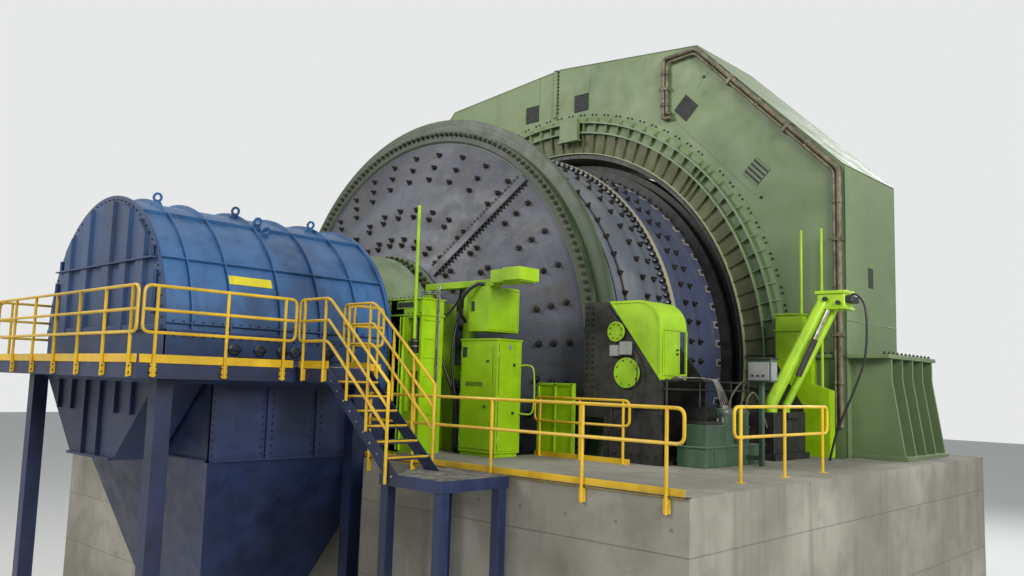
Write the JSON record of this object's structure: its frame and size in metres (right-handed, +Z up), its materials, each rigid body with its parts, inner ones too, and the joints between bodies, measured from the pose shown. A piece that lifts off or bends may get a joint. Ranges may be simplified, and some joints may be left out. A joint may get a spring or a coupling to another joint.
{
  "type": "ball mill with ring motor",
  "caption": "Grinding mill: a horizontal steel drum on two trunnion bearings, turned by a ring motor, with discharge hood, hopper, walkway, brakes and concrete piers.",
  "frame": {"origin": "underside of the foundation, below the mill's axis and below the front face of the brake disc", "axes": "+Z up, +Y along the mill's axis from the discharge end to the feed end, +X to the right seen from the discharge end"},
  "size_m": [18.9, 21.11, 16.69],
  "materials": {
    "concrete": "cast concrete, matte",
    "slate_steel": "grey blue primer, worn, rust stained",
    "green_steel": "dark green paint, oiled",
    "dark_steel": "dark greased steel",
    "sage_paint": "pale sage green paint, satin",
    "blue_paint": "deep blue paint, satin",
    "yellow_paint": "safety yellow paint, satin",
    "lime_paint": "bright lime paint, satin",
    "conduit": "grey brown paint, dusty"
  },
  "bodies": {
    "plant": {"foundation_raft": "concrete", "discharge_pier": "concrete", "feed_pier": "concrete", "side_pier_right": "concrete", "side_pier_left": "concrete", "motor_pier_right": "concrete", "motor_pier_left": "concrete", "motor_housing": "sage_paint", "front_collar": "sage_paint", "rear_collar": "sage_paint", "collar_box": "sage_paint", "motor_pipes": "conduit", "motor_feet": "sage_paint", "discharge_bearing": "lime_paint", "discharge_bearing_cap": "sage_paint", "feed_bearing": "lime_paint", "feed_bearing_cap": "sage_paint", "hood_shell": "blue_paint", "hood_end_plate": "blue_paint", "hood_rear_ring": "blue_paint", "hood_body": "blue_paint", "discharge_hopper": "blue_paint", "hopper_frame": "blue_paint", "walkway": "blue_paint", "rail_right": "yellow_paint", "rail_front": "yellow_paint", "rail_left": "yellow_paint", "rail_rear": "yellow_paint", "stair": "blue_paint", "stair_rails": "yellow_paint", "brake_stands": "dark_steel", "brake_calipers": "dark_steel", "brake_guards": "lime_paint", "control_cabinet": "lime_paint", "cable_arm": "lime_paint", "marker_poles": "lime_paint", "feed_chute": "blue_paint"},
    "drum": {"shell_front": "slate_steel", "shell_rear": "slate_steel", "brake_disc": "green_steel", "discharge_head_lower": "slate_steel", "discharge_head_upper": "slate_steel", "feed_head": "slate_steel", "discharge_trunnion": "sage_paint", "feed_trunnion": "sage_paint", "rotor_ring": "dark_steel"}
  },
  "joints": [
    {"name": "drum_turn", "type": "hinge", "parent": "plant", "child": "drum", "pos_m": [0, 0, 8.6], "axis": [0, -1, 0], "continuous": true}
  ]
}
